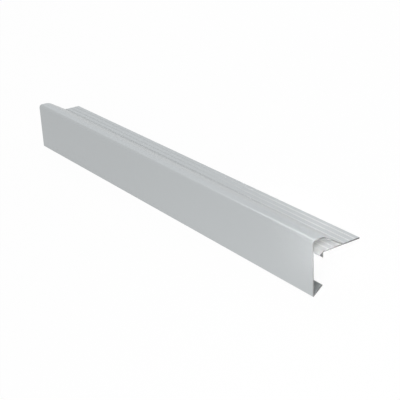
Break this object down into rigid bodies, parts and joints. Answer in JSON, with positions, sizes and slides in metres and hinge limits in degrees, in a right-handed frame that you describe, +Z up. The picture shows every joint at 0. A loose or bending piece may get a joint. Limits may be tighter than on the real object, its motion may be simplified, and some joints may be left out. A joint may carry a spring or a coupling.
{
  "type": "roof edge trim",
  "caption": "Extruded metal edge trim for a flat roof: fascia with a drip lip, rounded upstand, ribbed flange to lay on the deck, and an inner shelf with a barb for joint pieces.",
  "frame": {"origin": "middle of the footprint, on the floor that the trim rests on", "axes": "+X along the length, -Y towards the fascia's face, +Z up. The trim lies as it rests unheld, tilted back by 36.8 degrees from its fitted pose on the drip lip's bend and the flange's back edge"},
  "size_m": [0.567, 0.0744, 0.0472],
  "materials": {
    "satin_aluminium": "satin, light grey"
  },
  "bodies": {
    "root": {"trim_profile": "satin_aluminium"}
  },
  "joints": []
}
